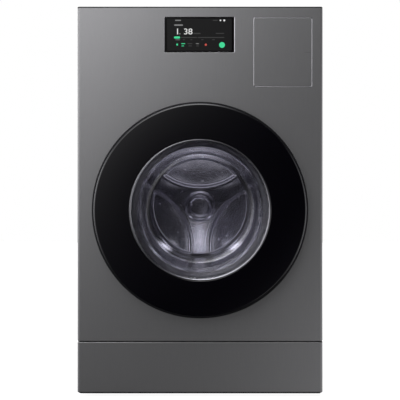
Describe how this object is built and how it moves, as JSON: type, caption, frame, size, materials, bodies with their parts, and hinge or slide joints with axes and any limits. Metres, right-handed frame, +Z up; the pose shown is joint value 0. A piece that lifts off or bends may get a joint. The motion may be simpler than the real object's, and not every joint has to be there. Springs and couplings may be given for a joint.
{
  "type": "washer dryer",
  "caption": "Front-loading washer dryer: graphite cabinet with a round glass door on a left hinge, a sprung drum, a heat pump, a display, a lint-filter flap and a plinth drawer.",
  "frame": {"origin": "on the floor, under the middle of the machine's overall width and depth", "axes": "+Z up, the door faces -Y, +X to the right as seen from the front"},
  "size_m": [0.686, 0.873, 1.09],
  "materials": {
    "graphite_steel": "satin graphite paint",
    "dark_steel": "satin dark paint",
    "zinc_steel": "zinc coated",
    "black_glass": "black gloss",
    "screen_glass": "black gloss",
    "clear_glass": "clear polished",
    "black_plastic": "gloss black",
    "grey_plastic": "moulded grey",
    "white_plastic": "moulded white",
    "blue_plastic": "moulded blue",
    "tub_plastic": "glass filled grey",
    "stainless": "bright stainless",
    "aluminium": "cast",
    "iron": "black iron",
    "rubber": "grey rubber",
    "copper_winding": "copper windings"
  },
  "bodies": {
    "cabinet": {"base_pan": "zinc_steel", "side_panel_left": "graphite_steel", "side_panel_right": "graphite_steel", "front_panel": "graphite_steel", "rear_panel": "zinc_steel", "rear_service_cover": "zinc_steel", "top_panel": "dark_steel", "display_glass": "screen_glass", "lint_filter": "grey_plastic", "air_duct_case": "white_plastic", "heat_exchanger": "aluminium", "compressor": "iron", "control_box": "grey_plastic", "door_lock": "grey_plastic", "hinge_bracket": "stainless", "door_gasket": "rubber", "drawer_housing": "grey_plastic", "drain_pump": "grey_plastic", "sump_hose": "rubber", "drain_pipe": "rubber", "inlet_valve": "white_plastic", "cord_gland": "black_plastic", "tub_spring_left": "stainless", "tub_spring_right": "stainless", "damper_cylinder_left": "dark_steel", "damper_cylinder_right": "dark_steel"},
    "tub": {"tub_front": "tub_plastic", "tub_rear": "tub_plastic", "counterweight_upper": "iron", "counterweight_lower": "iron", "drum_bearing": "stainless", "motor_stator": "copper_winding", "damper_rod_left": "stainless", "damper_rod_right": "stainless"},
    "drum": {"drum_shell": "stainless", "drum_lifter_1": "grey_plastic", "drum_lifter_2": "grey_plastic", "drum_lifter_3": "grey_plastic", "drum_spider": "aluminium", "motor_rotor": "dark_steel"},
    "door": {"door_rim": "black_plastic", "door_cover_glass": "black_glass", "door_inner_frame": "grey_plastic", "door_bowl": "clear_glass", "door_hook": "stainless", "door_hinge_arm": "stainless"},
    "filter_door": {"filter_door": "graphite_steel"},
    "drawer": {"drawer_front": "graphite_steel", "drawer_tray": "white_plastic", "dispenser_tank": "blue_plastic", "tank_cover": "white_plastic"},
    "detergent_cap": {"detergent_cap": "blue_plastic"},
    "softener_cap": {"softener_cap": "blue_plastic"},
    "blower": {"blower_wheel": "black_plastic"},
    "pump_filter": {"pump_filter": "blue_plastic"},
    "pump_impeller": {"pump_impeller": "black_plastic"},
    "foot_front_left": {"foot_front_left": "rubber"},
    "foot_front_right": {"foot_front_right": "rubber"},
    "foot_rear_left": {"foot_rear_left": "rubber"},
    "foot_rear_right": {"foot_rear_right": "rubber"}
  },
  "joints": [
    {"name": "door_hinge", "type": "hinge", "parent": "cabinet", "child": "door", "pos_m": [-0.281, -0.4125, 0.5245], "axis": [0, 0, -1], "range_deg": [0, 150]},
    {"name": "tub_suspension", "type": "slide", "parent": "cabinet", "child": "tub", "axis": [0, 0, 1], "range_m": [-0.012, 0.012], "stiffness_N_per_m": 20000, "springref_m": 0.03062, "deforming": ["tub_spring_left", "tub_spring_right", "sump_hose", "door_gasket"]},
    {"name": "drum_spin", "type": "hinge", "parent": "tub", "child": "drum", "pos_m": [0, 0.0115, 0.5245], "axis": [0, -1, 0], "continuous": true},
    {"name": "filter_door_hinge", "type": "hinge", "parent": "cabinet", "child": "filter_door", "pos_m": [0.1531, -0.3857, 0.9628], "axis": [0, 0, -1], "range_deg": [0, 100]},
    {"name": "drawer_slide", "type": "slide", "parent": "cabinet", "child": "drawer", "axis": [0, -1, 0], "range_m": [0, 0.34]},
    {"name": "detergent_cap_hinge", "type": "hinge", "parent": "drawer", "child": "detergent_cap", "pos_m": [-0.125, -0.2595, 0.104], "axis": [-1, 0, 0], "range_deg": [0, 85]},
    {"name": "softener_cap_hinge", "type": "hinge", "parent": "drawer", "child": "softener_cap", "pos_m": [0.064, -0.2595, 0.104], "axis": [-1, 0, 0], "range_deg": [0, 85]},
    {"name": "blower_spin", "type": "hinge", "parent": "cabinet", "child": "blower", "pos_m": [0.207, 0.3015, 0.963], "axis": [0, 1, 0], "continuous": true},
    {"name": "pump_filter_turn", "type": "hinge", "parent": "cabinet", "child": "pump_filter", "pos_m": [-0.29, -0.3285, 0.072], "axis": [0, -1, 0], "range_deg": [0, 180]},
    {"name": "pump_impeller_spin", "type": "hinge", "parent": "cabinet", "child": "pump_impeller", "pos_m": [-0.29, -0.2285, 0.072], "axis": [0, 1, 0], "continuous": true},
    {"name": "foot_front_left_turn", "type": "hinge", "parent": "cabinet", "child": "foot_front_left", "pos_m": [-0.29, -0.3135, 0.006], "axis": [0, 0, 1], "continuous": true},
    {"name": "foot_front_right_turn", "type": "hinge", "parent": "cabinet", "child": "foot_front_right", "pos_m": [0.29, -0.3135, 0.006], "axis": [0, 0, 1], "continuous": true},
    {"name": "foot_rear_left_turn", "type": "hinge", "parent": "cabinet", "child": "foot_rear_left", "pos_m": [-0.29, 0.3365, 0.006], "axis": [0, 0, 1], "continuous": true},
    {"name": "foot_rear_right_turn", "type": "hinge", "parent": "cabinet", "child": "foot_rear_right", "pos_m": [0.29, 0.3365, 0.006], "axis": [0, 0, 1], "continuous": true}
  ]
}
